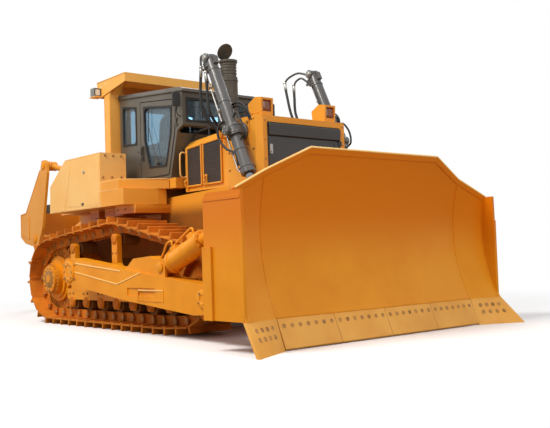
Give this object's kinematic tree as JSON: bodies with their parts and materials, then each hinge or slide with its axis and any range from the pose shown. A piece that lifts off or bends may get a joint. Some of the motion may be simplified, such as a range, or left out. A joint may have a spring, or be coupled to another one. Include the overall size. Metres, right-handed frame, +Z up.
{
  "type": "crawler bulldozer",
  "caption": "Large crawler bulldozer with a semi-U blade on outside push arms, inboard lift cylinders, a closed cab under a rollover frame and a rear ripper",
  "frame": {"origin": "centre of the bounding box at ground level, under the grousers", "axes": "+X forward towards the blade, +Y to the operator's left, +Z up"},
  "size_m": [9.63, 4.3, 3.7941],
  "materials": {
    "yellow_paint": "satin",
    "worn_track_steel": "worn",
    "engine_iron": "matte",
    "charcoal_paint": "satin",
    "soot_black": "matte",
    "tinted_glass": "gloss",
    "seat_fabric": "matte",
    "dark_plastic": "matte",
    "lamp_grey": "satin",
    "edge_steel": "satin",
    "cylinder_grey": "satin",
    "chrome_rod": "polished"
  },
  "bodies": {
    "tractor": {"air_intake": "charcoal_paint", "cab_frame": "charcoal_paint", "cab_glass": "tinted_glass", "cab_mount": "yellow_paint", "cab_roof": "charcoal_paint", "carrier_rollers": "worn_track_steel", "control_consoles": "dark_plastic", "engine": "engine_iron", "equalizer_bar": "yellow_paint", "exhaust_stack": "soot_black", "fender_left": "yellow_paint", "fender_right": "yellow_paint", "final_drives": "yellow_paint", "fuel_tank": "yellow_paint", "headlamps": "yellow_paint", "hood": "yellow_paint", "hood_vents": "charcoal_paint", "idlers": "worn_track_steel", "main_frame": "yellow_paint", "operator_seat": "seat_fabric", "radiator_core": "engine_iron", "radiator_guard": "yellow_paint", "ripper_bracket": "yellow_paint", "rops_post_left": "yellow_paint", "rops_post_right": "yellow_paint", "rops_roof": "yellow_paint", "sprockets": "worn_track_steel", "tank_left": "yellow_paint", "tank_right": "yellow_paint", "track_frame_left": "yellow_paint", "track_frame_right": "yellow_paint", "track_left": "worn_track_steel", "track_right": "worn_track_steel", "track_rollers": "worn_track_steel", "work_lamps": "lamp_grey"},
    "blade_frame": {"push_arm_right": "yellow_paint", "push_arm_left": "yellow_paint", "blade": "yellow_paint", "cutting_edges": "edge_steel", "end_bits": "edge_steel", "tilt_brace_right": "yellow_paint", "tilt_brace_left": "yellow_paint"},
    "lift_barrel_r": {"lift_barrel_right": "cylinder_grey"},
    "lift_barrel_l": {"lift_barrel_left": "cylinder_grey"},
    "lift_rod_r": {"lift_rod_right": "chrome_rod"},
    "lift_rod_l": {"lift_rod_left": "chrome_rod"},
    "ripper_arms": {"ripper_arm": "yellow_paint"},
    "ripper_tool": {"ripper_carrier": "yellow_paint", "ripper_shank": "edge_steel"},
    "ripper_pitch": {"pitch_cylinders": "yellow_paint"},
    "ripper_barrels": {"ripper_lift_barrels": "yellow_paint"},
    "ripper_rods": {"ripper_lift_rods": "chrome_rod"},
    "cab_door_r": {"door_right": "charcoal_paint", "door_glass_right": "tinted_glass"},
    "cab_door_l": {"door_left": "charcoal_paint", "door_glass_left": "tinted_glass"},
    "grille": {"grille_door": "charcoal_paint"},
    "cap": {"rain_cap": "soot_black"}
  },
  "joints": [
    {"name": "blade_lift", "type": "hinge", "parent": "tractor", "child": "blade_frame", "pos_m": [0.055, 0, 0.8], "axis": [0, -1, 0], "range_deg": [-7.5, 16]},
    {"name": "lift_trunnion_r", "type": "hinge", "parent": "tractor", "child": "lift_barrel_r", "pos_m": [2.893, -0.885, 2.463], "axis": [0, -1, 0], "range_deg": [-10, 18]},
    {"name": "lift_stroke_r", "type": "slide", "parent": "lift_barrel_r", "child": "lift_rod_r", "axis": [0.4259, 0, -0.9048], "range_m": [-0.95, 0.46]},
    {"name": "lift_trunnion_l", "type": "hinge", "parent": "tractor", "child": "lift_barrel_l", "pos_m": [2.893, 0.885, 2.463], "axis": [0, -1, 0], "range_deg": [-10, 18]},
    {"name": "lift_stroke_l", "type": "slide", "parent": "lift_barrel_l", "child": "lift_rod_l", "axis": [0.4259, 0, -0.9048], "range_m": [-0.95, 0.46]},
    {"name": "ripper_lift", "type": "hinge", "parent": "tractor", "child": "ripper_arms", "pos_m": [-2.15, 0, 1], "axis": [0, 1, 0], "range_deg": [-40, 4]},
    {"name": "ripper_level", "type": "hinge", "parent": "ripper_arms", "child": "ripper_tool", "pos_m": [-3.75, 0, 1.37], "axis": [0, 1, 0], "range_deg": [-5, 42]},
    {"name": "pitch_link", "type": "hinge", "parent": "tractor", "child": "ripper_pitch", "pos_m": [-1.73, 0, 2.32], "axis": [0, 1, 0], "range_deg": [-42, 6]},
    {"name": "ripper_cylinder_tilt", "type": "hinge", "parent": "tractor", "child": "ripper_barrels", "pos_m": [-1.95, 0, 1.76], "axis": [0, 1, 0], "range_deg": [-28, 4]},
    {"name": "ripper_stroke", "type": "slide", "parent": "ripper_barrels", "child": "ripper_rods", "axis": [-0.9528, 0, -0.3035], "range_m": [-0.05, 0.41]},
    {"name": "cab_door_right_swing", "type": "hinge", "parent": "tractor", "child": "cab_door_r", "pos_m": [1.444, -0.774, 2.8], "axis": [0, 0, 1], "range_deg": [0, 90]},
    {"name": "cab_door_left_swing", "type": "hinge", "parent": "tractor", "child": "cab_door_l", "pos_m": [1.444, 0.774, 2.8], "axis": [0, 0, -1], "range_deg": [0, 90]},
    {"name": "grille_swing", "type": "hinge", "parent": "tractor", "child": "grille", "pos_m": [3.202, 0.615, 2], "axis": [0, 0, -1], "range_deg": [-48, 0]},
    {"name": "rain_cap_swing", "type": "hinge", "parent": "tractor", "child": "cap", "pos_m": [1.945, -0.33, 3.576], "axis": [0, -1, 0], "range_deg": [-57, 20]}
  ],
  "couplings": [
    {"joint": "lift_trunnion_r", "follows": "blade_lift", "ratio": 0.966},
    {"joint": "lift_stroke_r", "follows": "blade_lift", "m_per_rad": -3.258},
    {"joint": "lift_trunnion_l", "follows": "blade_lift", "ratio": 0.966},
    {"joint": "lift_stroke_l", "follows": "blade_lift", "m_per_rad": -3.258},
    {"joint": "ripper_level", "follows": "ripper_lift", "ratio": -1},
    {"joint": "pitch_link", "follows": "ripper_lift", "ratio": 1},
    {"joint": "ripper_cylinder_tilt", "follows": "ripper_lift", "ratio": 0.664},
    {"joint": "ripper_stroke", "follows": "ripper_lift", "m_per_rad": -0.564}
  ]
}
